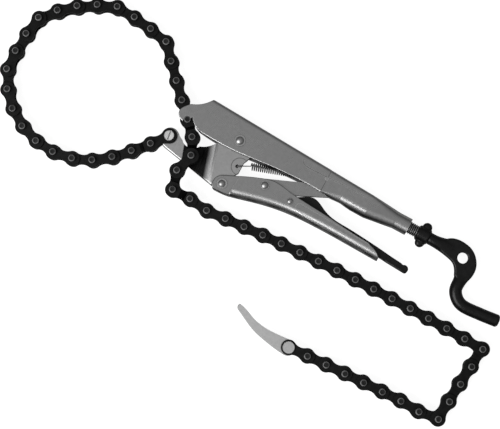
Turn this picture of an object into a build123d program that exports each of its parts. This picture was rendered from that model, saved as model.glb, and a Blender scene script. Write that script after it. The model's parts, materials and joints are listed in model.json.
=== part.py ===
from build123d import *
import os
from math import atan2, cos, degrees, hypot, radians, sin, sqrt

# Chain wrench on a locking-plier body. Millimetres. The tool lies flat: +Z is up,
# through the rivets, and z = 0 is the tool's mid-plane. The origin is the main pivot
# rivet. +X runs along the adjusting screw towards the crank, +Y towards the closed
# top edge of the main handle.

# ---- driving dimensions ------------------------------------------------------------

SHEET = 2.4                     # pressed steel sheet of the handles
HANDLE_HALF = 8.0               # half width of both handles across the sheet walls
HANDLE_INNER = HANDLE_HALF - SHEET
JAW_HALF = 5.0                  # half width of the jaw where it sits in the handles
JAW_SHEET = 2.2
EAR_HALF = 2.4                  # the jaw is pinched flat to this at the chain end
TOGGLE_HALF = 4.6
TOGGLE_SHEET = 1.8
LEVER_HALF = 2.0                # release lever plate, half thickness
PAD_HALF = 4.6                  # and of its finger pad

MAIN_PIVOT = (0.0, 0.0)
LOWER_PIVOT = (3.5, -36.0)      # jaw to lower handle
TOGGLE_PIVOT = (33.6, -21.5)    # toggle link to lower handle
TOGGLE_SEAT = (90.9, 3.1)       # where the toggle link bears on the screw tip
LEVER_PIVOT = (56.7, -23.1)     # release lever to lower handle
SCREW_Y = 3.1                   # height of the adjusting screw's axis
RIVET_R = 3.0
LEVER_RIVET_R = 2.0
LOBE_STEP = 0.6                 # the lower handle's front lobe is this much thinner
RUNNING = 0.05                  # radial clearance of every turning fit
GAP = 0.3                       # side clearance between parts that slide past

PITCH = 15.875                  # 5/8 inch roller chain
LOBE_R = 6.0                    # rounded end of a link plate
WAIST = 3.7                     # half width of a link plate at its waist
PLATE = 1.5                     # link plate thickness
INNER_Z = 1.3                   # inner plates start this far from the mid-plane
OUTER_Z = 2.9                   # and outer plates this far
PIN_R = 2.6
PIN_HALF = 8.4                  # the pins stand well proud of the plates
PIN_BEVEL = 0.7
PIN_DIMPLE_R = 1.1
PLATE_EDGE = 0.28               # rounding of the link plates' edges
BUSH_R = 3.4
ROLLER_R = 4.0
CROSSING_STEP = 5.5             # height that one joggled link gains over the jaw
HOOK_BORE_R = 4.2               # loose bush on the hooked pin

SCREW_R = 5.0                   # M10 adjusting screw
THREAD_PITCH = 1.5
TUBE_R = 6.9                    # round rear end of the main handle
ROD_R = 5.0                     # round rod of the crank
NECK_R = 4.9
EYE_CENTRE = (195.1, 1.7)
EYE_HOLE_R = 4.3
EYE_HALF = 3.4                  # the eye is forged flat to this half thickness
WING_START = 154.5              # front face of the wing nut
WING_LENGTH = 10.5
WING_HUB_R = 6.2
WING_LOBE_R = 3.8
WING_REACH = 6.5                # lobe centres from the screw's axis
BUSH_OUTER_R = 6.0              # threaded sleeve in the round rear end
BUSH_LENGTH = 12.0

MAIN_APEX = (-33.2, 18.9)       # front end of the closed top edge
ROLL_START = 74.0               # the walls start to roll inwards below
MAIN_SHOULDER = (112.0, 11.8)   # where the top edge starts to close into a tube
ROLL_SIZES = {74.0: (-5.5, 1.2), 90.0: (-7.2, 7.5), 112.0: (-7.3, 7.5)}   # x: lower edge, corner
TOP_CORNER = 3.0
FAR_DROP = 1.0                  # the far wall's lower edge is sheared this much lower
ROLLED_STEP = 0.1               # the rolled rear part starts a hair inside the channel
SPINE_R = 6.4                   # the lower handle's bottom is almost half-round
FRONT_R = 3.2                   # but squarer under its front lobe
STEP_X = 13.0                   # where the one turns into the other
BEAD_CENTRE = (95.0, -25.6)     # raised oval around the grip of the lower handle
BEAD_SIZE = (66.0, 7.6)
BEAD_WIDTH = 0.8
BEAD_HEIGHT = 0.3
BEAD_TILT = -2.6
TUBE_START = 136.0
TUBE_END = 147.0
EDGE = 0.6                      # rounding of the sheared sheet edges
SPRING_ANCHOR = (73.5, 5.5)
SPRING_ANCHOR_R = 1.2

SPRING_HOLE = (7.3, -18.5)      # in the near wall of the jaw only
SPRING_HOLE_R = 1.5
COIN_CENTRE = (9.4, -17.7)      # shallow coined disc around the spring's hole
COIN_R = 6.8
COIN_DEPTH = 0.35
PINCH_END = -24.0               # the jaw's flat ear ends here
FLARE_END = -14.0               # and the jaw is at full width here
FLARE_TILT = 16.7               # the flare's line leans back towards the top
FLARE_CENTRE = (-14.0, -12.0)
FOLD_R = 1.6
TOGGLE_WIDTH = 5.5
SEAT_GAP = 1.4                  # play between the toggle link and the screw tip
SCREW_TIP = TOGGLE_SEAT[0] + SEAT_GAP

COIL_R = 2.7                    # return spring
WIRE_R = 0.45
COIL_Z = 2.6
COIL_START = (17.5, -13.4)
COIL_END = (66.0, 2.4)

TONGUE_HALF = 2.0
TONGUE_HEAD_R = 4.8
TONGUE_RIVET_R = 2.6
THROUGH = 20.0                  # half length of a cut that passes right through

# Each run of the chain: number of links, heading of the first link in degrees, and the
# turn from each link to the next.
LOOP_RUNS = [
    (3, -128.2, -3.0),
    (8, -142.8, -13.9),
    (3, -266.7, -6.3),
    (4, -310.3, -9.1),
    (3, -363.5, -4.2),
    (4, -407.1, 0.6),
]
TAIL_RUNS = [
    (1, -46.0, 0.0),
    (1, -63.0, 0.0),
    (1, -105.6, 0.0),
    (1, -76.0, 0.0),
    (2, 0.6, -7.4),
    (15, 5.1, -0.5),
    (4, -94.4, 0.0),
    (2, -172.5, -9.8),
    (6, -177.8, 0.3),
]
CHAIN_START = (-50.8, -22.3)    # anchor screw in the jaw
LOOP_LINKS = 25                 # pin 25 hangs in the notch of the main handle
PIN_HEIGHTS = {26: 1, 27: 2, 28: 2, 29: 1}   # pins lifted over the jaw, in steps
LOOP_JOINTS = [0, 8, 16, 25]
TAIL_JOINTS = [25, 27, 29, 31, 33, 35, 37, 39, 41, 43, 46, 48, 50, 52, 54, 56, 58]


# ---- chain path --------------------------------------------------------------------

def step(point, heading, length):
    x = point[0] + length * cos(radians(heading))
    y = point[1] + length * sin(radians(heading))
    return (x, y)


def link_headings():
    headings = []
    for count, first, turn in LOOP_RUNS + TAIL_RUNS:
        for k in range(count):
            headings.append(first + turn * k)
    return headings


def pin_height(index):
    return CROSSING_STEP * PIN_HEIGHTS.get(index, 0)


def chain_pins():
    """Centre of every pin, (x, y, z), all one pitch apart."""
    pins = [(CHAIN_START[0], CHAIN_START[1], 0.0)]
    for index, heading in enumerate(link_headings()):
        rise = pin_height(index + 1) - pin_height(index)
        x, y = step(pins[-1][:2], heading, sqrt(PITCH ** 2 - rise ** 2))
        pins.append((x, y, pin_height(index + 1)))
    return pins


PINS = chain_pins()
HOOK = PINS[LOOP_LINKS][:2]
CHAIN_END = len(PINS) - 1


# ---- small helpers -----------------------------------------------------------------

def plate_between(face, low, high):
    """The face extruded from z = low to z = high."""
    return Pos(0, 0, low) * extrude(face, high - low)


def rod_at(point, radius, low, high):
    return Pos(point[0], point[1], (low + high) / 2) * Cylinder(radius, high - low)


def hole_at(point, radius):
    """Cutter for a hole along Z through everything at the point."""
    return rod_at(point, radius, -THROUGH, THROUGH)


def along_x(radius, start, end, y=SCREW_Y, z=0.0):
    return Pos((start + end) / 2, y, z) * Rot(0, 90, 0) * Cylinder(radius, end - start)


def outline(*edges):
    return make_face(Curve() + list(edges))


def direction(a, b):
    return degrees(atan2(b[1] - a[1], b[0] - a[0]))


# ---- chain links -------------------------------------------------------------------

def link_outline(length):
    """Figure-of-eight plate: two round lobes joined by concave waists."""
    bite = ((length / 2) ** 2 + WAIST ** 2 - LOBE_R ** 2) / (2 * (LOBE_R - WAIST))
    tx = LOBE_R * (length / 2) / (LOBE_R + bite)
    ty = LOBE_R * (WAIST + bite) / (LOBE_R + bite)
    return outline(
        ThreePointArc((tx, ty), (-LOBE_R, 0), (tx, -ty)),
        ThreePointArc((tx, -ty), (length / 2, -WAIST), (length - tx, -ty)),
        ThreePointArc((length - tx, -ty), (length + LOBE_R, 0), (length - tx, ty)),
        ThreePointArc((length - tx, ty), (length / 2, WAIST), (tx, ty)),
    )


def side_profile(length, start, end, low_start, low_end):
    """Side view of one plate: level, a slope from start to end, then level again."""
    points = [(-10, low_start), (start, low_start), (end, low_end), (length + 10, low_end)]
    back = [(x, z + PLATE) for x, z in reversed(points)]
    face = Plane.XZ * make_face(Polyline(*points, *back, close=True))
    return extrude(face, 10, both=True)


def drilled(body, length, hole_a, hole_b):
    return body - hole_at((0, 0), hole_a) - hole_at((length, 0), hole_b)


def flat_plate(length, low, hole_a, hole_b):
    body = plate_between(link_outline(length), low, low + PLATE)
    rims = body.edges().filter_by(lambda e: abs(e.center().Z - low - PLATE / 2) > 0.4 * PLATE)
    return drilled(chamfer(rims, PLATE_EDGE), length, hole_a, hole_b)


def stepped_plate(length, low_a, low_b, start, end, hole_a, hole_b):
    """A plate whose two lobes lie at different heights, low_a and low_b."""
    if abs(low_a - low_b) < 0.001:
        return flat_plate(length, low_a, hole_a, hole_b)
    floor = min(low_a, low_b) - 1
    top = max(low_a, low_b) + PLATE + 1
    profile = side_profile(length, start, end, low_a, low_b)
    return drilled(plate_between(link_outline(length), floor, top) & profile, length, hole_a, hole_b)


def slope_span(index, upper, rise):
    """Where a joggled plate slopes, so that it clears its neighbour's lobes."""
    outer = index % 2 == 1
    if rise == 0:
        return (6.0, 9.0)
    late = upper != outer
    if rise < 0:
        late = not late
    if outer and index == LOOP_LINKS:
        return (5.6, 8.9) if upper else (6.0, 11.0)
    return (6.0, 10.9) if late else (4.0, 8.9)


def place_link(index, shape):
    a = PINS[index]
    b = PINS[index + 1]
    return Pos(a[0], a[1], 0) * Rot(0, 0, direction(a, b)) * shape


def link_plates(index):
    """The two side plates of link number index, from pin index to pin index + 1."""
    a = PINS[index]
    b = PINS[index + 1]
    length = hypot(b[0] - a[0], b[1] - a[1])
    plates = []
    for upper in (True, False):
        lows = []
        holes = []
        for end, height in enumerate((a[2], b[2])):
            outer = index == 0 or index % 2 == 1
            if index == 1 and end == 0:
                outer = False
            offset = OUTER_Z if outer else INNER_Z
            lows.append(height + (offset if upper else -offset - PLATE))
            holes.append(PIN_R if outer else BUSH_R)
        start, end = slope_span(index, upper, b[2] - a[2])
        plates.append(place_link(index, stepped_plate(length, *lows, start, end, *holes)))
    return plates


def chain_pin(index):
    """One pin, with bevelled ends and a small dimple in each."""
    pin = Cylinder(PIN_R, 2 * PIN_HALF)
    pin = chamfer(pin.edges().filter_by(GeomType.CIRCLE), PIN_BEVEL)
    for side in (1, -1):
        pin -= Pos(0, 0, side * PIN_HALF) * Cylinder(PIN_DIMPLE_R, 0.8)
    return Pos(*PINS[index]) * pin


def chain_bush(index):
    """The bush pressed into the inner plates."""
    half = INNER_Z + PLATE
    return Pos(*PINS[index]) * (Cylinder(BUSH_R, 2 * half) - Cylinder(PIN_R + RUNNING, 2 * half + 1))


def chain_roller(index):
    half = INNER_Z - 0.1
    return Pos(*PINS[index]) * (Cylinder(ROLLER_R, 2 * half) - Cylinder(BUSH_R + RUNNING, 2 * half + 1))


def outer_link(index):
    return index == 0 or index % 2 == 1


def pins_of(index):
    """Pins that belong to a link: an outer link carries both of its pins."""
    if index == 0:
        return [1]
    if index == 1:
        return [2]
    return [index, index + 1] if outer_link(index) else []


def bushes_of(index):
    if index == 0:
        return []
    if index == 1:
        return [1]
    return [] if outer_link(index) else [index, index + 1]


def hook_link():
    """Last link of the loop. Its hooked end is an open eye, loose on the pin."""
    index = LOOP_LINKS - 1
    eye = rod_at(HOOK, HOOK_BORE_R, -5, 5)
    return [plate - eye for plate in link_plates(index)]


def segment(first, last):
    """Links first to last - 1, sorted into plates, pins, bushes and rollers."""
    sets = {"outer": [], "inner": [], "pins": [], "rollers": []}
    for index in range(first, last):
        kind = "outer" if outer_link(index) else "inner"
        sets[kind] += hook_link() if index == LOOP_LINKS - 1 else link_plates(index)
        sets["pins"] += [chain_pin(i) for i in pins_of(index)]
        for i in bushes_of(index):
            if i != LOOP_LINKS:
                sets["rollers"] += [chain_bush(i), chain_roller(i)]
    return sets


# ---- handles -----------------------------------------------------------------------

def handle_top(x):
    """Height of the main handle's top edge at x, ahead of the shoulder."""
    run = (x - MAIN_APEX[0]) / (MAIN_SHOULDER[0] - MAIN_APEX[0])
    return MAIN_APEX[1] + run * (MAIN_SHOULDER[1] - MAIN_APEX[1])


def main_outline(drop):
    """Side view of the main handle from its hooked nose back to where it rolls up, with
    its lower edge let down by drop between the two ends."""
    end = ROLL_START
    top = handle_top(end)
    low = ROLL_SIZES[end][0]
    return outline(
        Line(MAIN_APEX, (end, top)),
        Line((end, top), (end, low)),
        Spline((end, low), (60, -5.0 - drop), (30, -6.3 - drop), (0, -9.0 - drop), (-20, -9.1 - drop / 2),
               (-31.5, -8.4)),
        ThreePointArc((-31.5, -8.4), (-37.4, -5.6), (-41.0, -1.6)),
        Line((-41.0, -1.6), (-46.6, -7.5)),
        Spline((-46.6, -7.5), (-51.0, -5.6), (-53.0, -1.6), (-51.0, 3.3), (-47.1, 7.4)),
        ThreePointArc((-47.1, 7.4), (-39.4, 11.6), MAIN_APEX),
    )


def cross_section(x, low, high, half, low_corner, high_corner):
    """Rounded section across the handle at x, with its own lower and upper corners."""
    plane = Plane(origin=(x, 0, 0), x_dir=(0, 1, 0), z_dir=(1, 0, 0))
    corners = [(low, -half), (high, -half), (high, half), (low, half)]
    face = make_face(Polyline(*corners, close=True))
    ends = face.vertices().group_by(Axis.X)
    face = fillet(ends[0], low_corner)
    face = fillet(face.vertices().filter_by(lambda v: abs(v.X - high) < 0.01), high_corner)
    return plane * face


def rolled_envelope(inset):
    """The walls rolling in and closing to a round tube, drawn in by inset for the bore."""
    half = HANDLE_HALF - ROLLED_STEP - inset
    upper = TOP_CORNER - 0.6 * inset
    sections = []
    for x, (low, corner) in ROLL_SIZES.items():
        top = handle_top(x) - ROLLED_STEP - inset
        sections.append(cross_section(x, low + inset, top, half, max(corner - inset, 0.8), upper))
    radius = TUBE_R - inset
    corner = radius - 0.4
    for x in (TUBE_START, TUBE_END):
        sections.append(cross_section(x, SCREW_Y - radius, SCREW_Y + radius, radius, corner, corner))
    return loft(sections, ruled=True)


def lower_slot():
    """Plan view of the gap between the rolled walls: it narrows towards the tube."""
    half = [(ROLL_START - 1, HANDLE_INNER), (92.0, 5.1), (100.0, 3.0), (128.0, 1.6), (TUBE_END - 4, 1.6)]
    points = half + [(x, -z) for x, z in reversed(half)]
    return Plane.XZ * make_face(Polyline(*points, close=True))


def rolled_rear():
    rear = rolled_envelope(0) - rolled_envelope(SHEET)
    return rear - Pos(0, 1.0, 0) * extrude(lower_slot(), 12)


def hook_notch():
    """Open slot in the nose that a chain pin drops into."""
    width = 2 * (PIN_R + RUNNING)
    return hole_at(HOOK, PIN_R + RUNNING) + Pos(HOOK[0], HOOK[1] - 10, 0) * Box(width, 20, 2 * THROUGH)


def outer_rims(body, keep):
    """Edges of the body's two outside faces, where keep(edge) is true."""
    return body.edges().filter_by(lambda e: abs(abs(e.center().Z) - HANDLE_HALF) < 0.01 and keep(e))


def main_handle():
    channel = plate_between(main_outline(0), 0, HANDLE_HALF)
    channel += plate_between(main_outline(FAR_DROP), -HANDLE_HALF, 0)
    channel = fillet(outer_rims(channel, lambda e: e.center().Y > 14 and e.length > 100), TOP_CORNER)
    channel = fillet(outer_rims(channel, lambda e: e.center().Y < 11 and e.center().X < 80), EDGE)
    inside = make_face(Polyline(
        (-70, MAIN_APEX[1] + 2.0 - SHEET), (MAIN_APEX[0], MAIN_APEX[1] - SHEET),
        (ROLL_START, handle_top(ROLL_START) - SHEET), (ROLL_START, -20), (-70, -20), close=True))
    channel -= extrude(inside, HANDLE_INNER, both=True)
    channel -= Pos(-50, 8, 0) * Box(33, 40, 2 * HANDLE_INNER)
    body = channel + rolled_rear()
    body -= along_x(BUSH_OUTER_R, TUBE_END - BUSH_LENGTH, TUBE_END + 1)
    body -= along_x(SCREW_R + 0.4, MAIN_SHOULDER[0] + 10, TUBE_END)
    body -= hook_notch() + hole_at(MAIN_PIVOT, RIVET_R) + hole_at(SPRING_ANCHOR, SPRING_ANCHOR_R)
    return body - handle_creases()


def handle_creases():
    """Shallow pressed line along each wall, curving up at its front end."""
    line = Spline((50.4, 10.4), (52.0, 7.9), (56.0, 6.7), (64.0, 6.6), (92.0, 7.5), (108.0, 7.4))
    groove = extrude(trace(line, 0.8), 0.35, both=True)
    return Pos(0, 0, HANDLE_HALF) * groove + Pos(0, 0, -HANDLE_HALF) * groove


def screw_bush():
    """Threaded sleeve pressed into the round rear end of the main handle."""
    start = TUBE_END - BUSH_LENGTH
    sleeve = along_x(BUSH_OUTER_R, start, TUBE_END) - along_x(SCREW_R + RUNNING, start - 1, TUBE_END + 1)
    return chamfer(sleeve.edges().filter_by(GeomType.CIRCLE).group_by(Axis.X)[-1], 0.4)


def spring_anchor():
    return rod_at(SPRING_ANCHOR, SPRING_ANCHOR_R, -HANDLE_HALF, HANDLE_HALF)


def spine_curve(lift):
    """Bottom edge of the lower handle, raised by lift for the inside face."""
    points = [(-12.0, -43.4), (-2.0, -43.2), (8.0, -42.8), (19.0, -40.6), (37.0, -36.0), (57.0, -32.6),
              (82.0, -31.3), (112.0, -31.6), (142.0, -32.2)]
    return Spline(*[(x, y + lift) for x, y in points])


def lower_trough(lift, half, corner):
    """Solid above the spine, with rounded bottom edges."""
    spine = spine_curve(lift)
    side = outline(spine, Polyline(spine @ 1, (142.0, 10.0), (-12.0, 10.0), spine @ 0))
    block = extrude(side, half, both=True)
    edges = block.edges().filter_by(lambda e: abs(abs(e.center().Z) - half) < 0.01)
    return fillet(edges.filter_by(lambda e: e.center().Y < -25 and e.length > 100), corner)


def lower_outline():
    """Side view of the lower handle; its spine is the bottom edge."""
    return outline(
        ThreePointArc((0.5, -30.2), (-3.7, -36.4), (3.4, -45.0)),
        Polyline((3.4, -45.0), (3.4, -50.0), (137.5, -50.0), (137.5, -29.0)),
        Spline((137.5, -29.0), (133.0, -25.8), (114.0, -22.3), (90.0, -19.9), (70.0, -18.4), (52.0, -16.6),
               (39.0, -15.2), (28.0, -18.0), (14.0, -23.8), (0.5, -30.2)),
    )


def grip_rim():
    """Raised oval bead around the grip panel of the lower handle, on both walls."""
    inner = (BEAD_SIZE[0] - 2 * BEAD_WIDTH, BEAD_SIZE[1] - 2 * BEAD_WIDTH)
    ring = extrude(SlotOverall(*BEAD_SIZE) - SlotOverall(*inner), THROUGH, both=True)
    ring = Pos(*BEAD_CENTRE, 0) * Rot(0, 0, BEAD_TILT) * ring
    skin = lower_trough(-BEAD_HEIGHT, HANDLE_HALF + BEAD_HEIGHT, SPINE_R + BEAD_HEIGHT)
    return ring & skin - lower_trough(0.5 * SHEET, HANDLE_HALF - 0.5 * SHEET, SPINE_R - 0.5 * SHEET)


def front_lobe():
    """Cutter that thins the outside of both walls around the front pivot."""
    edge = Spline((13.5, -55.0), (12.0, -42.0), (12.6, -30.0), (14.5, -10.0))
    side = outline(edge, Polyline(edge @ 1, (-20.0, -10.0), (-20.0, -55.0), edge @ 0))
    layer = extrude(side, THROUGH, both=True)
    return layer - Box(200, 200, 2 * (HANDLE_HALF - LOBE_STEP))


def lobe_rims(body):
    """The rounded front edge of each wall's thinned lobe."""
    level = HANDLE_HALF - LOBE_STEP
    return body.edges().filter_by(lambda e: abs(abs(e.center().Z) - level) < 0.01 and e.center().X < 2)


def lower_block():
    """Outside of the lower handle: squarer in front of the step, half-round behind it."""
    ahead = Pos(STEP_X - 50, 0, 0) * Box(100, 200, 100)
    block = (lower_trough(0, HANDLE_HALF, FRONT_R) & ahead) + (lower_trough(0, HANDLE_HALF, SPINE_R) - ahead)
    return block & extrude(lower_outline(), THROUGH, both=True)


def lower_handle():
    body = lower_block()
    body = fillet(outer_rims(body, lambda e: e.center().X > 1 and e.center().Y > -20), EDGE)
    body = fillet(lobe_rims(body - front_lobe()), EDGE)
    front = Pos(-1.5, -40.0, 0) * Box(28, 20, 2 * HANDLE_INNER)
    body -= lower_trough(SHEET, HANDLE_INNER, SPINE_R - SHEET) + front
    body += grip_rim()
    for point, radius in ((LOWER_PIVOT, RIVET_R), (TOGGLE_PIVOT, RIVET_R), (LEVER_PIVOT, LEVER_RIVET_R)):
        body -= hole_at(point, radius)
    return body


def domed_head(radius, height):
    ball = (radius ** 2 + height ** 2) / (2 * height)
    return Pos(0, 0, height - ball) * Sphere(ball) & Pos(0, 0, height) * Cylinder(radius, 2 * height)


def rivet(point, radius, span, collar, dome):
    """Solid rivet: on each side a flat spun collar with a flattened dome on it."""
    head = Pos(0, 0, 0.2) * Cylinder(collar, 0.4)
    head = chamfer(head.edges().filter_by(GeomType.CIRCLE).group_by(Axis.Z)[-1], 0.2)
    head += Pos(0, 0, 0.4) * domed_head(dome, 0.42 * dome)
    upper = Pos(0, 0, span) * head
    return Pos(point[0], point[1], 0) * (Cylinder(radius, 2 * span) + upper + Rot(180, 0, 0) * upper)


# ---- jaw ---------------------------------------------------------------------------

def jaw_outline():
    """Side view of the jaw: chain ear at the left, pivots at the right, fold below."""
    return outline(
        ThreePointArc((-44.6, -18.0), (-50.6, -15.3), (-57.0, -24.0)),
        ThreePointArc((-57.0, -24.0), (-54.5, -29.5), (-49.7, -32.3)),
        Line((-49.7, -32.3), (-2.0, -41.4)),
        ThreePointArc((-2.0, -41.4), (9.0, -39.2), (10.2, -31.0)),
        ThreePointArc((10.2, -31.0), (8.6, -27.0), (10.4, -23.0)),
        Line((10.4, -23.0), (10.4, -13.5)),
        ThreePointArc((10.4, -13.5), (12.6, 0.0), (6.5, 10.7)),
        ThreePointArc((6.5, 10.7), (-9.5, 7.9), (-13.6, -6.0)),
        ThreePointArc((-13.6, -6.0), (-17.5, -12.8), (-26.0, -18.4)),
        ThreePointArc((-26.0, -18.4), (-33.8, -23.2), (-41.0, -20.0)),
        Line((-41.0, -20.0), (-44.6, -18.0)),
    )


def plan_profile(narrow, wide):
    """Block with the pinched jaw's plan: flat ear, rounded flare, then parallel walls."""
    upper = [(-70, narrow), (PINCH_END, narrow), (FLARE_END, wide), (30, wide)]
    lower = [(x, -z) for x, z in reversed(upper)]
    face = make_face(Polyline(*upper, *lower, close=True))
    face = Plane.XZ * fillet(face.vertices().filter_by(lambda v: abs(v.X - FLARE_END) < 0.01), 9.0)
    centre = Pos(*FLARE_CENTRE, 0)
    return centre * Rot(0, 0, FLARE_TILT) * centre.inverse() * extrude(face, 90, both=True)


def fold_rims(body):
    """Outer edges of the fold along the bottom of the jaw."""
    rims = body.edges().filter_by(lambda e: abs(e.center().Z) > EAR_HALF - 0.1 and e.center().X < 0)
    return rims.filter_by(lambda e: max((e @ 0).Y, (e @ 1).Y) < -23.9 and abs((e @ 0).X - (e @ 1).X) > 0.01)


def jaw():
    side = extrude(jaw_outline(), 12, both=True)
    body = side & plan_profile(EAR_HALF, JAW_HALF)
    body = fillet(fold_rims(body), FOLD_R)
    hollow = plan_profile(0.12, JAW_HALF - JAW_SHEET)
    fold = make_face(Polyline((-70, -26.2), (-2.0, -39.1), (20, -39.1), (20, 30), (-70, 30), close=True))
    hollow &= extrude(fold, 12, both=True)
    body -= hollow - Pos(-60, 0, 0) * Box(40, 200, 40)
    body -= hole_at(MAIN_PIVOT, RIVET_R + RUNNING) + hole_at(LOWER_PIVOT, RIVET_R + RUNNING)
    body -= hole_at(PINS[0][:2], PIN_R) + rod_at(SPRING_HOLE, SPRING_HOLE_R, 0, THROUGH)
    coin = Cylinder(COIN_R, 2 * COIN_DEPTH)
    for side in (1, -1):
        body -= Pos(*COIN_CENTRE, side * JAW_HALF) * coin
    return body


def chain_screw():
    """Slotted screw that anchors the chain: it clamps through the ear."""
    top = OUTER_Z + PLATE
    shank = rod_at((0, 0), PIN_R, -top - 2.8, top)
    head = Pos(0, 0, top + 1.0) * Cylinder(4.05, 2.0)
    head = chamfer(head.edges().filter_by(GeomType.CIRCLE).group_by(Axis.Z)[-1], 0.4)
    slot = Pos(0, 0, top + 2.0) * Rot(0, 0, 70 + 28) * Box(10, 1.1, 1.4)
    return Pos(*PINS[0]) * (shank + head - slot)


def chain_screw_nut():
    top = OUTER_Z + PLATE
    nut = extrude(RegularPolygon(4.2, 6, major_radius=False), 2.6) - Cylinder(PIN_R, 10)
    return Pos(PINS[0][0], PINS[0][1], -top - 2.6) * nut


# ---- toggle link and release lever ---------------------------------------------------

def toggle_frame(shape):
    """Moves a shape drawn along +X from the toggle pivot to its place."""
    angle = direction(TOGGLE_PIVOT, TOGGLE_SEAT)
    return Pos(*TOGGLE_PIVOT, 0) * Rot(0, 0, angle) * shape


def toggle_link():
    length = hypot(TOGGLE_SEAT[0] - TOGGLE_PIVOT[0], TOGGLE_SEAT[1] - TOGGLE_PIVOT[1])
    side = outline(
        ThreePointArc((0, TOGGLE_WIDTH), (-TOGGLE_WIDTH, 0), (0, -TOGGLE_WIDTH)),
        Polyline((0, -TOGGLE_WIDTH), (16.0, -5.9), (length - 6, -4.4)),
        ThreePointArc((length - 6, -4.4), (length - 1.2, -2.4), (length, 0.5)),
        ThreePointArc((length, 0.5), (length - 1.6, 3.6), (length - 6, 4.6)),
        Line((length - 6, 4.6), (0, TOGGLE_WIDTH)),
    )
    body = extrude(side, TOGGLE_HALF, both=True)
    gap = 2 * (TOGGLE_HALF - TOGGLE_SHEET)
    body -= Pos(length / 2 - 8.6, -TOGGLE_SHEET, 0) * Box(length + 3.4, 2 * TOGGLE_WIDTH, gap)
    return toggle_frame(body - Cylinder(RIVET_R + RUNNING, 30))


def release_lever():
    """Flat lever: a nose under the toggle link and a long tail for the finger."""
    side = outline(
        Spline((54.0, -19.8), (60.0, -17.2), (66.0, -13.8), (71.5, -11.9), (77.8, -13.4), (83.8, -16.4),
               (92.8, -19.0), (106.0, -19.9), (120.0, -20.9), (137.0, -22.5), (150.0, -23.9),
               (157.0, -24.9), (161.2, -27.4)),
        ThreePointArc((161.2, -27.4), (161.9, -29.4), (160.2, -30.4)),
        Line((160.2, -30.4), (146.0, -29.6)),
        Spline((146.0, -29.6), (120.0, -27.6), (90.0, -26.2), (70.0, -26.6), (56.5, -27.0)),
        ThreePointArc((56.5, -27.0), (52.9, -24.2), (54.0, -19.8)),
    )
    body = extrude(side, LEVER_HALF, both=True)
    pad = outline(
        Line((143.0, -23.4), (157.0, -25.0)),
        ThreePointArc((157.0, -25.0), (161.9, -28.8), (160.2, -30.4)),
        Line((160.2, -30.4), (143.0, -29.4)),
        Line((143.0, -29.4), (143.0, -23.4)),
    )
    body += extrude(pad, PAD_HALF, both=True)
    rims = body.edges().filter_by(lambda e: e.center().X > 144 and abs(abs(e.center().Z) - PAD_HALF) < 0.01)
    body = fillet(rims, 1.0)
    return body - rod_at(LEVER_PIVOT, LEVER_RIVET_R + RUNNING, -20, 20)


# ---- adjusting screw -----------------------------------------------------------------

def threaded_rod(start, end):
    """Rod with a V groove at each thread pitch."""
    depth = 0.6 * THREAD_PITCH
    points = [(start, 0), (start, SCREW_R - 1.6), (start + 1.6, SCREW_R - depth)]
    x = start + 1.6
    while x + THREAD_PITCH < end:
        points.append((x + 0.42 * THREAD_PITCH, SCREW_R))
        points.append((x + 0.58 * THREAD_PITCH, SCREW_R))
        points.append((x + THREAD_PITCH, SCREW_R - depth))
        x += THREAD_PITCH
    points += [(end, SCREW_R - depth), (end, 0)]
    rod = revolve(make_face(Polyline(*points, close=True)), Axis.X)
    return Pos(0, SCREW_Y, 0) * rod


def ellipse_at(x, y, half_width, half_height, turn):
    """Section of the crank across its run: turn is the run's heading in degrees."""
    across = (-sin(radians(turn)), cos(radians(turn)), 0)
    along = (cos(radians(turn)), sin(radians(turn)), 0)
    return Plane(origin=(x, y, 0), x_dir=across, z_dir=along) * Ellipse(half_width, half_height)


def crank_eye():
    """Flat forged eye, wide where the neck and the arm run into it."""
    side = outline(
        Spline((176.5, 8.2), (181.0, 11.6), (186.0, 12.9), (191.6, 12.8), (198.4, 11.0), (204.0, 6.6),
               (207.6, 0.4), (208.4, -5.6), (206.4, -13.5)),
        Line((206.4, -13.5), (195.4, -13.5)),
        Spline((195.4, -13.5), (193.6, -9.6), (190.4, -5.8), (186.2, -4.0), (176.5, -1.8)),
        Line((176.5, -1.8), (176.5, 8.2)),
    )
    eye = extrude(side, EYE_HALF, both=True)
    rims = eye.edges().filter_by(lambda e: abs(abs(e.center().Z) - EYE_HALF) < 0.01 and e.length > 12)
    return fillet(rims, 1.6)


def crank_neck():
    """Round neck that widens and flattens into the eye."""
    sections = [
        ellipse_at(WING_START + WING_LENGTH, SCREW_Y, NECK_R, NECK_R, 0),
        ellipse_at(174.0, 3.2, 5.3, 5.0, 0),
        ellipse_at(180.0, 3.6, 6.4, 4.4, 0),
        ellipse_at(188.0, 4.0, 7.6, EYE_HALF - 0.1, 0),
    ]
    return loft(sections)


def crank_arm():
    """Round rod from under the eye, bent back to run parallel to the screw."""
    root = [
        ellipse_at(201.6, -10.0, 6.2, EYE_HALF - 0.1, -90),
        ellipse_at(201.3, -15.0, 5.3, 4.3, -90),
        ellipse_at(201.3, -19.4, ROD_R, ROD_R, -90),
    ]
    path = Spline(
        (201.3, -19.4), (203.4, -25.4), (208.6, -29.8), (216.0, -31.1), (226.0, -30.3), (241.2, -28.7),
        tangents=[(0, -1), (1, 0.12)])
    rod = sweep(Plane(origin=path @ 0, z_dir=path % 0) * Circle(ROD_R), path)
    tip = Plane(origin=path @ 1, z_dir=path % 1) * Pos(0, 0, 0.7) * Cone(ROD_R, ROD_R - 1.5, 1.4)
    return loft(root) + rod + tip


def adjusting_screw():
    """Adjusting screw and crank, forged in one piece."""
    body = threaded_rod(SCREW_TIP, WING_START + WING_LENGTH) + crank_neck() + crank_eye() + crank_arm()
    return body - hole_at(EYE_CENTRE, EYE_HOLE_R)


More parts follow.
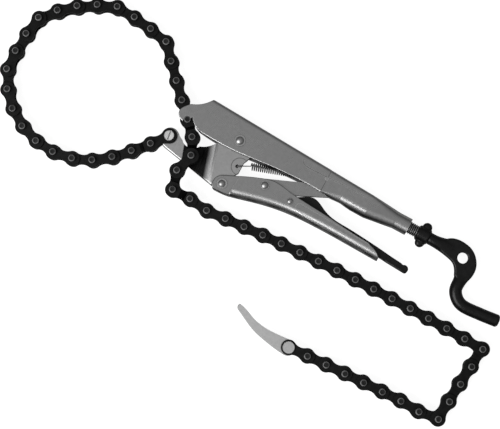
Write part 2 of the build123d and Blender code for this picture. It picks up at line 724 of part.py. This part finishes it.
def wing_nut():
    """Lock nut with two short round lobes, run up against the crank."""
    end = WING_START + WING_LENGTH
    hub = along_x(WING_HUB_R, WING_START, end)
    hub = chamfer(hub.edges().filter_by(GeomType.CIRCLE), 0.9)
    lobe = Cylinder(WING_LOBE_R, 1.7 * WING_LOBE_R)
    lobe = fillet(lobe.edges().filter_by(GeomType.CIRCLE), 0.75 * WING_LOBE_R)
    for side in (1, -1):
        hub += Pos(160.1, SCREW_Y + side * WING_REACH, 0) * lobe
    return hub - along_x(SCREW_R + RUNNING, WING_START - 1, end + 1)


# ---- return spring --------------------------------------------------------------------

def return_spring():
    """Extension spring from the jaw to the anchor pin, as a sleeve with hooks."""
    length = hypot(COIL_END[0] - COIL_START[0], COIL_END[1] - COIL_START[1])
    sleeve = Cylinder(COIL_R, length) - Cylinder(COIL_R - 2 * WIRE_R, length + 1)
    sleeve = Pos(length / 2, 0, 0) * Rot(0, 90, 0) * sleeve
    sleeve = Pos(*COIL_START, COIL_Z) * Rot(0, 0, direction(COIL_START, COIL_END)) * sleeve
    top = JAW_HALF + GAP + WIRE_R
    wire = Polyline(
        (SPRING_HOLE[0], SPRING_HOLE[1], 3.0), (SPRING_HOLE[0], SPRING_HOLE[1], top),
        (12.5, -15.2, top), (COIL_START[0] + 1.0, COIL_START[1] + 0.3, COIL_Z + COIL_R - WIRE_R))
    hook = sweep(Plane(origin=wire @ 0, z_dir=wire % 0) * Circle(WIRE_R), wire, transition=Transition.ROUND)
    loop = Pos(SPRING_ANCHOR[0], SPRING_ANCHOR[1], COIL_Z) * Torus(1.2 + 2 * WIRE_R, WIRE_R)
    tail = Polyline((COIL_END[0] - 1.0, COIL_END[1] + 1.4, COIL_Z + 1.0), (71.6, 4.6, COIL_Z))
    link = sweep(Plane(origin=tail @ 0, z_dir=tail % 0) * Circle(WIRE_R), tail)
    return sleeve + hook + loop + link


# ---- tongue ---------------------------------------------------------------------------

def tongue():
    """Curved steel finger that guides the free end of the chain through the hook."""
    side = outline(
        ThreePointArc((0.4, 5.9), (5.9, -0.6), (-0.8, -6.9)),
        Spline((-0.8, -6.9), (-10.0, -6.0), (-20.0, -4.2), (-30.0, -1.7), (-40.0, 2.8), (-48.3, 6.9)),
        ThreePointArc((-48.3, 6.9), (-50.0, 9.0), (-49.4, 11.8)),
        Spline((-49.4, 11.8), (-46.0, 11.2), (-34.1, 6.7), (-22.0, 4.6), (-10.0, 4.9), (0.4, 5.9)),
    )
    body = extrude(side, TONGUE_HALF, both=True)
    for tilt in (1, -1):
        bevel = Pos(-50.6, 9.4, tilt * 2.6) * Rot(0, -24 * tilt, 27) * Box(14, 20, 2.0)
        body -= bevel
    body -= Cylinder(TONGUE_RIVET_R + RUNNING, 30)
    return Pos(*PINS[CHAIN_END][:2], 0) * body


def tongue_rivet():
    """Flat-headed rivet that joins the tongue to the last outer link."""
    top = OUTER_Z + PLATE
    head = Pos(0, 0, top + 0.9) * Cylinder(TONGUE_HEAD_R, 1.8)
    head = chamfer(head.edges().filter_by(GeomType.CIRCLE).group_by(Axis.Z)[-1], 0.35)
    body = Cylinder(TONGUE_RIVET_R, 2 * top) + head + Rot(180, 0, 0) * head
    return Pos(*PINS[CHAIN_END][:2], 0) * body


# ---- assembly -------------------------------------------------------------------------

def tool_nodes():
    return {
        "main_handle": main_handle(),
        "screw_bush": screw_bush(),
        "main_pivot_rivet": rivet(MAIN_PIVOT, RIVET_R, HANDLE_HALF, 4.5, 3.3),
        "spring_anchor": spring_anchor(),
        "return_spring": return_spring(),
        "jaw": jaw(),
        "chain_screw": chain_screw(),
        "chain_screw_nut": chain_screw_nut(),
        "lower_handle": lower_handle(),
        "lower_handle_rivet": rivet(LOWER_PIVOT, RIVET_R, HANDLE_HALF - LOBE_STEP, 4.3, 2.9),
        "toggle_rivet": rivet(TOGGLE_PIVOT, RIVET_R, HANDLE_HALF, 3.7, 3.0),
        "release_lever_rivet": rivet(LEVER_PIVOT, LEVER_RIVET_R, HANDLE_HALF, 2.5, 2.2),
        "toggle_link": toggle_link(),
        "release_lever": release_lever(),
        "adjusting_screw": adjusting_screw(),
        "wing_nut": wing_nut(),
        "tongue": tongue(),
        "tongue_rivet": tongue_rivet(),
    }


def loop_nodes():
    nodes = {}
    for letter, first, last in zip("abc", LOOP_JOINTS, LOOP_JOINTS[1:]):
        sets = segment(first, last)
        nodes[f"loop_{letter}_outer_links"] = Compound(children=sets["outer"])
        nodes[f"loop_{letter}_inner_links"] = Compound(children=sets["inner"])
        nodes[f"loop_{letter}_pins"] = Compound(children=sets["pins"])
        nodes[f"loop_{letter}_rollers"] = Compound(children=sets["rollers"])
    return nodes


def tail_nodes():
    nodes = {}
    for number, (first, last) in enumerate(zip(TAIL_JOINTS, TAIL_JOINTS[1:]), start=1):
        sets = segment(first, last)
        if last == CHAIN_END:
            sets["pins"] = sets["pins"][:-1]
        nodes[f"tail_links_{number:02d}"] = Compound(children=sum(sets.values(), []))
    return nodes


def main():
    os.makedirs("parts", exist_ok=True)
    nodes = {**tool_nodes(), **loop_nodes(), **tail_nodes()}
    for name, shape in nodes.items():
        export_step(shape, f"parts/{name}.step")


main()
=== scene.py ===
import json
import math

import bmesh
import bpy
import numpy as np
from mathutils import Matrix, Vector


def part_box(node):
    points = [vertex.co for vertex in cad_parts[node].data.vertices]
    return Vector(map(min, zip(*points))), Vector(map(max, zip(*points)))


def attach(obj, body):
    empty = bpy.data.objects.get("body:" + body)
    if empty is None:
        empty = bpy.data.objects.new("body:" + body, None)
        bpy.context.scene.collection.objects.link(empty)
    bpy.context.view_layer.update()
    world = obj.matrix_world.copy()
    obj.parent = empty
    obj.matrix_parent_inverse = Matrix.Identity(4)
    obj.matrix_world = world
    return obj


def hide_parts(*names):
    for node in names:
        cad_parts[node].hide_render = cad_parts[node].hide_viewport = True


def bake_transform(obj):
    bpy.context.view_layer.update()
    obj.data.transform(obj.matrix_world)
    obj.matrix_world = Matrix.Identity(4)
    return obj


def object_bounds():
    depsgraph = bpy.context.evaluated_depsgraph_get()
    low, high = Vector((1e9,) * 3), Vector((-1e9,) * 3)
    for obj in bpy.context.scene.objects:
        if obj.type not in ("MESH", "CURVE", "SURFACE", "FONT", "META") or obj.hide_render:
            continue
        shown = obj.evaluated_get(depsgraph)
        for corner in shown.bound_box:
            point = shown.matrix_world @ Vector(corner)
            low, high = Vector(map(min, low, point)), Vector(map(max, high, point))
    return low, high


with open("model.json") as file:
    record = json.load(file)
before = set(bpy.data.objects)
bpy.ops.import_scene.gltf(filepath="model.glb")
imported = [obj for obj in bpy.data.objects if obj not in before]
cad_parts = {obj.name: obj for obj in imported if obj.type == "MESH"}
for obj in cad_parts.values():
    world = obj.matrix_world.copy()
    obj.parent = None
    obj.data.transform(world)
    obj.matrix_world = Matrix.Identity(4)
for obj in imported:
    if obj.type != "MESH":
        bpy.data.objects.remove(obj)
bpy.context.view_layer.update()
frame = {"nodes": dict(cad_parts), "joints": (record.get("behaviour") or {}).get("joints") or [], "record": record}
NODES = frame["nodes"]
SLOTS = {row["node"]: row["material_slot"] for row in frame["record"]["subparts"]}
JOINTS = {joint["name"]: joint for joint in frame["joints"]}

MM = 0.001

# Where the camera stood over the flat tool, and where it looked, in metres.
CAMERA_AT = Vector((0.0997, -0.0942, 1.1787))
CAMERA_FORWARD = Vector((-0.0558, 0.0403, -0.9976))
CAMERA_UP = Vector((-0.4727, 0.8790, 0.0619))
FOCAL_WIDTHS = 3.03             # focal length, in widths of the picture
SENSOR_MM = 36.0

# The jaw's own material carries painted shade: a black patch and a dark line round its pressing.
FINISHES = {"jaw": "jaw_steel_painted_shade", "chain_screw": "screw_head"}    # where one finish is not enough

# The adjusting screw's thread and the return spring's coil.
THREAD_R = 5.0 * MM
THREAD_PITCH = 1.5 * MM
THREAD_DEPTH = 0.9 * MM
TIP_R = 3.4 * MM
COIL_R = 2.7 * MM
COIL_TURNS = 31
WIRE_R = 0.45 * MM
COIL_LIFT = 2.6 * MM            # height of the coil's axis over the mid-plane
JAW_TOP = 5.0 * MM              # outer face of the jaw

# Painted shade on the jaw: a black patch that starts at the line x = HOLLOW_SLOPE * y + HOLLOW_START and
# fades out across a line that leans with the jaw's flare.
HOLLOW_SLOPE = -0.35
HOLLOW_START = -0.0459
HOLLOW_FADE_IN = 0.6 * MM
FLARE_LEAN = 0.3
FLARE_Y = 0.012
HOLLOW_END = (-0.0205, -0.0160)

# Forged pieces: voxel sizes and smoothing passes of the crank and of the wing nut.
CRANK_VOXEL, CRANK_PASSES = 0.40 * MM, 14
NUT_VOXEL, NUT_PASSES = 0.25 * MM, 10

FLOOR_HALF = 4.0
FLOOR_GLOW = (0.12, 0.90)       # in reflections, and to the camera
ROOM_HEIGHT = (0.15, 0.95)      # the room brightens between these heights of view
ROOM_LIGHT = (0.10, 0.52)
KEY_TOWARD = (-0.36, -0.56, 0.74)
KEY_DISTANCE, KEY_SIZE, KEY_POWER = 1.6, 1.25, 22
LAMP_CENTRE = (0.06, -0.01, 0.0)
EDGE_WIDTH = 0.3 * MM
WELD = 0.002 * MM

# Painted shade: a dark line is painted along the outline of this round pressing.
RING_CENTRE = (9.4 * MM, -17.7 * MM)    # round pressing about the jaw's spring hole
RING_R = 6.8 * MM

# Chain pins: the largest width of a pin, and where its rim and its end lie.
PIN_WIDTH = 5.6 * MM
PIN_LENGTH = 12.0 * MM
RIM_TILT = (0.3, 0.95)          # vertical part of the normal on a pin's bevelled rim


# ---- node helpers ------------------------------------------------------------------

class Graph:
    """A short way to write a material's nodes."""

    def __init__(self, name):
        self.material = bpy.data.materials.new(name)
        self.material.use_nodes = True
        self.tree = self.material.node_tree
        self.shader = self.tree.nodes["Principled BSDF"]
        self.place = self.add("ShaderNodeTexCoord").outputs["Object"]

    def add(self, kind, **settings):
        node = self.tree.nodes.new(kind)
        for key, value in settings.items():
            if key in node.inputs:
                self.feed(node.inputs[key], value)
            else:
                setattr(node, key, value)
        return node

    def feed(self, socket, value):
        if isinstance(value, bpy.types.NodeSocket):
            self.tree.links.new(value, socket)
        else:
            socket.default_value = value

    def set(self, **values):
        for key, value in values.items():
            self.feed(self.shader.inputs[key.replace("_", " ")], value)

    def noise(self, scale, detail=4.0, stretch=(1, 1, 1)):
        mapping = self.add("ShaderNodeMapping", Vector=self.place, Scale=stretch)
        node = self.add("ShaderNodeTexNoise", Vector=mapping.outputs[0], Scale=scale, Detail=detail)
        return node.outputs["Fac"]

    def ramp(self, value, low, high, from_min=0.35, from_max=0.65):
        node = self.add("ShaderNodeMapRange", Value=value)
        node.inputs["From Min"].default_value = from_min
        node.inputs["From Max"].default_value = from_max
        node.inputs["To Min"].default_value = low
        node.inputs["To Max"].default_value = high
        return node.outputs[0]

    def blend(self, factor, a, b):
        node = self.add("ShaderNodeMix", data_type="RGBA")
        self.feed(node.inputs[0], factor)
        self.feed(node.inputs[6], a)
        self.feed(node.inputs[7], b)
        return node.outputs[2]

    def math(self, operation, a, b=0.0):
        node = self.add("ShaderNodeMath", operation=operation)
        self.feed(node.inputs[0], a)
        self.feed(node.inputs[1], b)
        return node.outputs[0]

    def axes(self):
        return self.add("ShaderNodeSeparateXYZ", Vector=self.place).outputs

    def edges(self, radius):
        """1 on convex edges within radius of a corner, 0 on flats."""
        bevel = self.add("ShaderNodeBevel", Radius=radius, samples=4)
        normal = self.add("ShaderNodeNewGeometry").outputs["Normal"]
        dot = self.add("ShaderNodeVectorMath", operation="DOT_PRODUCT")
        self.feed(dot.inputs[0], bevel.outputs[0])
        self.feed(dot.inputs[1], normal)
        return self.ramp(dot.outputs["Value"], 1.0, 0.0, 0.82, 0.99)

    def recess_shade(self, distance):
        """Near 0 in narrow grooves and recesses, 1 in the open: the mask for painted shade in recesses."""
        shade = self.add("ShaderNodeAmbientOcclusion", Distance=distance, samples=16)
        return self.ramp(shade.outputs["AO"], 0.12, 1.0, 0.45, 0.85)

    def bump(self, height, distance, strength=1.0):
        node = self.add("ShaderNodeBump", Height=height, Distance=distance, Strength=strength)
        self.set(Normal=node.outputs[0])


def grey(value, warmth=0.0):
    return (value * (1 + warmth), value, value * (1 - warmth), 1.0)


# ---- materials ---------------------------------------------------------------------

def plated_steel(name, dark, light, roughness, grain=1.0):
    """Satin nickel plate over tumbled steel: fine speckle, soft clouds, edges lightened by wear and a painted
    highlight, painted shade in recesses.
    """
    g = Graph(name)
    clouds = g.noise(70, 4)
    pits = g.noise(420, 5)
    speckle = g.noise(1900, 2)
    mix = g.math("ADD", g.math("MULTIPLY", pits, 0.6), g.math("MULTIPLY", speckle, 0.4))
    tone = g.blend(g.ramp(mix, 0.25, 0.75), grey(dark), grey(light))
    tone = g.blend(g.ramp(clouds, 0, 0.45), tone, grey(dark * 0.85))
    # Painted highlight, partly wear of the plate: convex edges are lightened towards white.
    tone = g.blend(g.math("MULTIPLY", g.edges(0.0005), 0.7), tone, grey(0.9))
    # Painted shade: the base colour turns near black in grooves and recesses.
    g.set(Base_Color=g.blend(g.recess_shade(0.0015), grey(0.02), tone))
    rough = g.math("ADD", g.ramp(clouds, roughness - 0.04, roughness + 0.04), g.ramp(speckle, -0.02, 0.02))
    g.set(Metallic=1.0, Roughness=rough)
    g.bump(mix, 0.00003 * grain)
    return g


def ring_shade_line(g):
    """1 along the outline of the round pressing about the jaw's spring hole: the mask of a painted shade line."""
    x, y, z = g.axes()
    across = g.math("SUBTRACT", x, RING_CENTRE[0])
    up = g.math("SUBTRACT", y, RING_CENTRE[1])
    far = g.math("SQRT", g.math("ADD", g.math("MULTIPLY", across, across), g.math("MULTIPLY", up, up)))
    off = g.math("ABSOLUTE", g.math("SUBTRACT", far, RING_R))
    return g.math("MULTIPLY", g.ramp(off, 0.6, 0.0, 0.0001, 0.0005), g.ramp(z, 0.0, 1.0, 0.003, 0.0045))


def jaw_steel_painted_shade(name, dark, light, roughness):
    """The plated steel of the jaw, with painted shade: a black patch in the hollow between its ear and its flare,
    and a dark line round its round pressing.
    """
    g = plated_steel(name, dark, light, roughness)
    x, y, _ = g.axes()
    # Painted shade: mask of the black patch, from its slanting start to its fade across the flare.
    left = g.math("ADD", g.math("MULTIPLY", y, HOLLOW_SLOPE), HOLLOW_START)
    inside = g.ramp(g.math("SUBTRACT", x, left), 0.0, 1.0, 0.0, HOLLOW_FADE_IN)
    along = g.math("ADD", x, g.math("MULTIPLY", g.math("ADD", y, FLARE_Y), FLARE_LEAN))
    before = g.ramp(along, 1.0, 0.0, *HOLLOW_END)
    scratches = g.ramp(g.noise(1400, 3, (1, 0.15, 1)), 0.001, 0.008)
    black = g.add("ShaderNodeCombineColor", Red=scratches, Green=scratches, Blue=scratches)
    shade = g.math("MULTIPLY", inside, before)
    # Painted shade: a dark line along the outline of the round pressing.
    plain = g.blend(ring_shade_line(g), g.shader.inputs["Base Color"].links[0].from_socket, grey(0.05))
    g.set(Base_Color=g.blend(shade, plain, black.outputs[0]))
    # Within the painted shade the steel is made dull and non-metallic, so the patch stays black.
    g.set(Metallic=g.ramp(shade, 1.0, 0.0, 0.0, 1.0), Specular_IOR_Level=g.ramp(shade, 0.5, 0.08, 0.0, 1.0))
    return g


def black_oxide(name, tone, roughness, edge_tone):
    """Oiled black oxide: mottled sheen, edges lightened by wear and a painted highlight."""
    g = Graph(name)
    mottle = g.noise(260, 4)
    fine = g.noise(1500, 3)
    base = g.blend(g.ramp(mottle, 0, 1), grey(tone), grey(tone * 1.9))
    # Painted highlight, partly wear: convex edges are lightened to edge_tone.
    g.set(Base_Color=g.blend(g.math("MULTIPLY", g.edges(0.0004), 0.6), base, grey(edge_tone)))
    g.set(Metallic=0.5, Roughness=g.ramp(fine, roughness - 0.07, roughness + 0.09), Specular_IOR_Level=0.2)
    g.bump(fine, 0.00005)
    return g


def gloss_black(name):
    """Glossy black finish on a forging, with a faint orange-peel surface."""
    g = Graph(name)
    peel = g.noise(420, 3)
    fine = g.noise(1800, 2)
    g.set(Base_Color=g.blend(g.ramp(peel, 0, 1), grey(0.002), grey(0.005)))
    g.set(Metallic=0.0, Roughness=g.ramp(fine, 0.26, 0.36), Specular_IOR_Level=0.22)
    g.bump(peel, 0.00010)
    return g


def thread_wear_and_highlight(name):
    """Black thread whose crests are lightened by wear and a painted highlight; the grooves keep the black."""
    g = Graph(name)
    _, y, z = g.axes()
    up = g.math("SUBTRACT", y, JOINTS["screw_turn"]["pos_m"][1])
    far = g.math("SQRT", g.math("ADD", g.math("MULTIPLY", up, up), g.math("MULTIPLY", z, z)))
    crest = g.ramp(far, 0.0, 1.0, THREAD_R - 0.55 * THREAD_DEPTH, THREAD_R)
    # Painted highlight, partly wear: the thread's crests are coloured light grey.
    crest_wear_and_highlight = g.math("MULTIPLY", crest, g.ramp(g.noise(900, 3), 0.5, 1.0))
    g.set(Base_Color=g.blend(crest_wear_and_highlight, grey(0.006), grey(0.42)), Metallic=crest, Roughness=0.36)
    g.bump(g.noise(1600, 2), 0.00003)
    return g


def spring_wire(name):
    g = Graph(name)
    g.set(Base_Color=g.blend(g.noise(1200, 3), grey(0.05), grey(0.16)), Metallic=1.0, Roughness=0.32)
    g.bump(g.noise(2500, 2), 0.00003)
    return g


def floor_paper(name):
    """White paper sweep: bright to the camera so that shadows stay faint, dull in reflections."""
    g = Graph(name)
    tone = g.blend(g.noise(6, 3), grey(0.30), grey(0.33))
    seen = g.add("ShaderNodeLightPath").outputs["Is Camera Ray"]
    g.set(Base_Color=tone, Roughness=0.9, Specular_IOR_Level=0.0)
    g.set(Emission_Color=grey(1.0), Emission_Strength=g.ramp(seen, *FLOOR_GLOW, 0, 1))
    return g


def make_materials():
    graphs = {
        "nickel_steel": plated_steel("nickel_steel", 0.29, 0.40, 0.28),
        "jaw_steel_painted_shade": jaw_steel_painted_shade("jaw_steel_painted_shade", 0.34, 0.44, 0.36),
        "bright_rivets": plated_steel("bright_rivets", 0.28, 0.42, 0.36, 0.5),
        "screw_head": plated_steel("screw_head", 0.45, 0.90, 0.40, 3.0),
        "tongue_steel": plated_steel("tongue_steel", 0.44, 0.58, 0.36),
        "black_gloss": gloss_black("black_gloss"),
        "thread_wear_and_highlight": thread_wear_and_highlight("thread_wear_and_highlight"),
        "spring_wire": spring_wire("spring_wire"),
        "black_chain": black_oxide("black_chain", 0.004, 0.42, 0.03),
        "chain_pins": black_oxide("chain_pins", 0.010, 0.40, 0.05),
        # Lighter pin rims: wear with a painted highlight.
        "pin_rims": black_oxide("pin_rims", 0.16, 0.36, 0.20),
    }
    return {name: graph.material for name, graph in graphs.items()}


# ---- CAD nodes ---------------------------------------------------------------------

def islands(mesh):
    """The number of the connected piece that each vertex belongs to."""
    place = np.zeros(len(mesh.vertices) * 3)
    mesh.vertices.foreach_get("co", place)
    place = place.reshape(-1, 3)
    _, label = np.unique(np.round(place, 7), axis=0, return_inverse=True)
    label = label.reshape(-1)
    ends = np.zeros(len(mesh.edges) * 2, int)
    mesh.edges.foreach_get("vertices", ends)
    pairs = label[ends.reshape(-1, 2)]
    root = np.arange(label.max() + 1)
    while True:
        low = np.minimum(root[pairs[:, 0]], root[pairs[:, 1]])
        before = root.copy()
        np.minimum.at(root, pairs[:, 0], low)
        np.minimum.at(root, pairs[:, 1], low)
        root = root[root]
        if (root == before).all():
            return place, root[label]


def pin_vertices(mesh):
    """True for the vertices of chain pins: the slim, long pieces of a chain node."""
    place, group = islands(mesh)
    chosen = np.zeros(len(group), bool)
    for number in np.unique(group):
        members = group == number
        span = np.ptp(place[members], axis=0)
        if max(span[:2]) < PIN_WIDTH and span[2] > PIN_LENGTH:
            chosen |= members
    return chosen


def mark_pins(node, materials):
    """Gives the pins of a chain node their own finish, and their bevelled rims a lighter one: wear with a painted
    highlight.
    """
    mesh = node.data
    mesh.materials.append(materials["chain_pins"])
    mesh.materials.append(materials["pin_rims"])
    pins = pin_vertices(mesh)
    for face in mesh.polygons:
        if pins[face.vertices[0]]:
            rim = RIM_TILT[0] < abs(face.normal.z) < RIM_TILT[1]
            face.material_index = 2 if rim else 1


def dress_nodes(materials):
    for name, node in NODES.items():
        node.data.materials.clear()
        finish = FINISHES.get(name, SLOTS[name])
        node.data.materials.append(materials[finish])
        if name.startswith("tail_links") or name.endswith("_pins"):
            mark_pins(node, materials)


def round_edges(name, width, angle=35.0):
    """Rounds the sheared edges of a sheet-metal node."""
    node = NODES[name]
    weld = node.modifiers.new("weld", "WELD")
    weld.merge_threshold = WELD
    bevel = node.modifiers.new("edge", "BEVEL")
    bevel.width = width
    bevel.segments = 2
    bevel.limit_method = "ANGLE"
    bevel.angle_limit = math.radians(angle)
    bevel.harden_normals = True


# ---- new pieces --------------------------------------------------------------------

def new_piece(name, mesh, body, finish, materials, replaced):
    piece = bpy.data.objects.new(name, mesh)
    bpy.context.scene.collection.objects.link(piece)
    mesh.materials.clear()
    mesh.materials.append(materials[finish])
    for face in mesh.polygons:
        face.use_smooth = True
    if body:
        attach(piece, body)
    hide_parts(replaced)
    return piece


def welded_copy(node, cut_x=None):
    """A closed copy of a node's mesh, with everything before cut_x cut away."""
    cage = bmesh.new()
    cage.from_mesh(NODES[node].data)
    bmesh.ops.remove_doubles(cage, verts=cage.verts, dist=WELD)
    if cut_x is not None:
        everything = cage.verts[:] + cage.edges[:] + cage.faces[:]
        cut = bmesh.ops.bisect_plane(
            cage, geom=everything, plane_co=(cut_x, 0, 0), plane_no=(1, 0, 0), clear_inner=True)
        rim = [item for item in cut["geom_cut"] if isinstance(item, bmesh.types.BMEdge)]
        bmesh.ops.holes_fill(cage, edges=rim)
    mesh = bpy.data.meshes.new(node + "_copy")
    cage.to_mesh(mesh)
    cage.free()
    return mesh


def forged(name, mesh, voxel, passes):
    """Remeshes a union of simple solids and softens its creases, as a forging has."""
    holder = bpy.data.objects.new(name, mesh)
    bpy.context.scene.collection.objects.link(holder)
    remesh = holder.modifiers.new("remesh", "REMESH")
    remesh.mode = "VOXEL"
    remesh.voxel_size = voxel
    smooth = holder.modifiers.new("smooth", "SMOOTH")
    smooth.factor = 0.5
    smooth.iterations = passes
    result = bpy.data.meshes.new_from_object(holder.evaluated_get(bpy.context.evaluated_depsgraph_get()))
    bpy.data.objects.remove(holder)
    return result


def thread_radius(x, angle, tip):
    """Radius of a right-hand V thread at x, running out to a bevelled tip."""
    phase = (x / THREAD_PITCH - angle / (2 * math.pi)) % 1.0
    crest = min(1.0, max(0.0, (abs(phase - 0.5) * 2 - 0.12) / 0.76))
    return min(THREAD_R - THREAD_DEPTH * crest, TIP_R + (x - tip))


def thread_mesh(start, end, axis_y):
    around = 48
    along = int((end - start) / THREAD_PITCH * 10)
    mesh = bpy.data.meshes.new("thread")
    points = [(start, axis_y, 0.0)]
    for i in range(along + 1):
        x = start + (end - start) * i / along
        for k in range(around):
            angle = 2 * math.pi * k / around
            radius = thread_radius(x, angle, start)
            points.append((x, axis_y + radius * math.cos(angle), radius * math.sin(angle)))
    points.append((end, axis_y, 0.0))
    last = len(points) - 1
    faces = []
    for k in range(around):
        after = (k + 1) % around
        faces.append((0, 1 + after, 1 + k))
        base = 1 + along * around
        faces.append((last, base + k, base + after))
        for i in range(along):
            a = 1 + i * around
            faces.append((a + k, a + after, a + around + after, a + around + k))
    mesh.from_pydata(points, [], faces)
    return mesh


def build_adjusting_screw(materials):
    """Helical thread and smooth forged crank, in place of the grooved solid."""
    low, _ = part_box("adjusting_screw")
    nut_low, nut_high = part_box("wing_nut")
    axis_y = JOINTS["screw_turn"]["pos_m"][1]
    thread = thread_mesh(low.x, nut_high.x - 1.0 * MM, axis_y)
    screw = "adjusting_screw"
    new_piece("adjusting_screw_thread", thread, screw, "thread_wear_and_highlight", materials, screw)
    crank = forged("crank", welded_copy(screw, nut_high.x - 2.0 * MM), CRANK_VOXEL, CRANK_PASSES)
    new_piece("adjusting_screw_crank", crank, screw, "black_gloss", materials, screw)
    nut = forged("nut", welded_copy("wing_nut"), NUT_VOXEL, NUT_PASSES)
    new_piece("wing_nut_forging", nut, "wing_nut", "black_gloss", materials, "wing_nut")


def tube_mesh(name, path, radius, around=10):
    """A round wire along a list of points, closed at both ends."""
    cage = bmesh.new()
    rings = []
    side = Vector((1, 0, 0))
    for i, point in enumerate(path):
        ahead = (path[min(i + 1, len(path) - 1)] - path[max(i - 1, 0)]).normalized()
        side = (side - ahead * side.dot(ahead)).normalized()
        other = ahead.cross(side)
        ring = []
        for k in range(around):
            angle = 2 * math.pi * k / around
            ring.append(cage.verts.new(point + radius * (math.cos(angle) * side + math.sin(angle) * other)))
        rings.append(ring)
    for one, two in zip(rings, rings[1:]):
        for k in range(around):
            after = (k + 1) % around
            cage.faces.new((one[k], one[after], two[after], two[k]))
    cage.faces.new(rings[0][::-1])
    cage.faces.new(rings[-1])
    mesh = bpy.data.meshes.new(name)
    cage.to_mesh(mesh)
    cage.free()
    return mesh


def spring_path(hook, anchor):
    """Hook over the jaw's edge, straight lead, close coils, and a loop on the anchor pin."""
    start = hook + Vector((9.6, 5.1, 0)) * MM
    flat = Vector((anchor.x - start.x, anchor.y - start.y, 0))
    run = flat.normalized()
    across = Vector((-run.y, run.x, 0))
    up = Vector((0, 0, 1))
    first = Vector((start.x, start.y, COIL_LIFT))
    length = flat.length - 8.5 * MM
    over = JAW_TOP + WIRE_R
    path = [Vector((hook.x, hook.y, 2.5 * MM)), Vector((hook.x, hook.y, over - 0.5 * MM))]
    path.append(Vector((hook.x + 0.4 * MM, hook.y + 0.2 * MM, over + 0.2 * MM)))
    path.append(Vector((hook.x + 3.4 * MM, hook.y + 1.9 * MM, over)))
    path.append(first - run * 1.2 * MM + up * 1.6 * MM)
    steps = 20
    for i in range(COIL_TURNS * steps + 1):
        angle = 2 * math.pi * i / steps
        reach = length * i / (COIL_TURNS * steps)
        path.append(first + run * reach + COIL_R * (math.cos(angle) * up + math.sin(angle) * across))
    end = Vector((anchor.x, anchor.y, COIL_LIFT))
    loop_r = 1.2 * MM + 1.6 * WIRE_R
    path.append(end - run * 4.5 * MM + up * 0.8 * MM)
    for i in range(17):
        angle = math.pi + 2 * math.pi * i / 18
        path.append(end + loop_r * (math.cos(angle) * run + math.sin(angle) * across))
    return path


def build_return_spring(materials):
    low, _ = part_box("return_spring")
    pin_low, pin_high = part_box("spring_anchor")
    hook = Vector((low.x + WIRE_R, low.y + WIRE_R, 0))
    anchor = (pin_low + pin_high) / 2
    mesh = tube_mesh("coil", spring_path(hook, anchor), WIRE_R * 0.92)
    spring = new_piece("return_spring_coil", mesh, None, "spring_wire", materials, "return_spring")
    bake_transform(spring)


# ---- stage -------------------------------------------------------------------------

def add_floor():
    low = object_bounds()[0]
    mesh = bpy.data.meshes.new("floor")
    corners = [(-FLOOR_HALF, -FLOOR_HALF), (FLOOR_HALF, -FLOOR_HALF)]
    corners += [(FLOOR_HALF, FLOOR_HALF), (-FLOOR_HALF, FLOOR_HALF)]
    mesh.from_pydata([(x, y, low[2] - 0.0005) for x, y in corners], [], [(0, 1, 2, 3)])
    floor = bpy.data.objects.new("floor", mesh)
    mesh.materials.append(floor_paper("floor_paper").material)
    bpy.context.scene.collection.objects.link(floor)


def add_softbox(name, toward, distance, size, power):
    """A round softbox seen from the tool in one direction."""
    light = bpy.data.lights.new(name, "AREA")
    light.shape = "DISK"
    light.size = size
    light.energy = power
    lamp = bpy.data.objects.new(name, light)
    direction = Vector(toward).normalized()
    lamp.location = Vector(LAMP_CENTRE) + distance * direction
    lamp.rotation_euler = (-direction).to_track_quat("-Z", "Y").to_euler()
    lamp.visible_camera = False
    bpy.context.scene.collection.objects.link(lamp)


def add_lights():
    """A grey room that is dark near the horizon, with one bright softbox at the lower left."""
    world = bpy.data.worlds.new("studio")
    world.use_nodes = True
    nodes, links = world.node_tree.nodes, world.node_tree.links
    height = nodes.new("ShaderNodeSeparateXYZ")
    links.new(nodes.new("ShaderNodeTexCoord").outputs["Generated"], height.inputs[0])
    fade = nodes.new("ShaderNodeMapRange")
    for key, value in zip(("From Min", "From Max", "To Min", "To Max"), ROOM_HEIGHT + ROOM_LIGHT):
        fade.inputs[key].default_value = value
    links.new(height.outputs[2], fade.inputs[0])
    links.new(fade.outputs[0], nodes["Background"].inputs["Strength"])
    nodes["Background"].inputs["Color"].default_value = (1, 1, 1, 1)
    bpy.context.scene.world = world
    add_softbox("key", KEY_TOWARD, KEY_DISTANCE, KEY_SIZE, KEY_POWER)


def add_camera():
    data = bpy.data.cameras.new("camera")
    data.sensor_width = SENSOR_MM
    data.lens = SENSOR_MM * FOCAL_WIDTHS
    camera = bpy.data.objects.new("camera", data)
    back = -CAMERA_FORWARD.normalized()
    right = CAMERA_UP.cross(back).normalized()
    up = back.cross(right)
    turn = Matrix((right, up, back)).transposed().to_4x4()
    camera.matrix_world = Matrix.Translation(CAMERA_AT) @ turn
    bpy.context.scene.collection.objects.link(camera)
    bpy.context.scene.camera = camera


def main():
    materials = make_materials()
    dress_nodes(materials)
    for name in ("jaw", "toggle_link", "release_lever", "tongue"):
        round_edges(name, EDGE_WIDTH)
    build_adjusting_screw(materials)
    build_return_spring(materials)
    add_floor()
    add_lights()
    add_camera()
    bpy.context.scene.view_settings.view_transform = "Standard"


main()
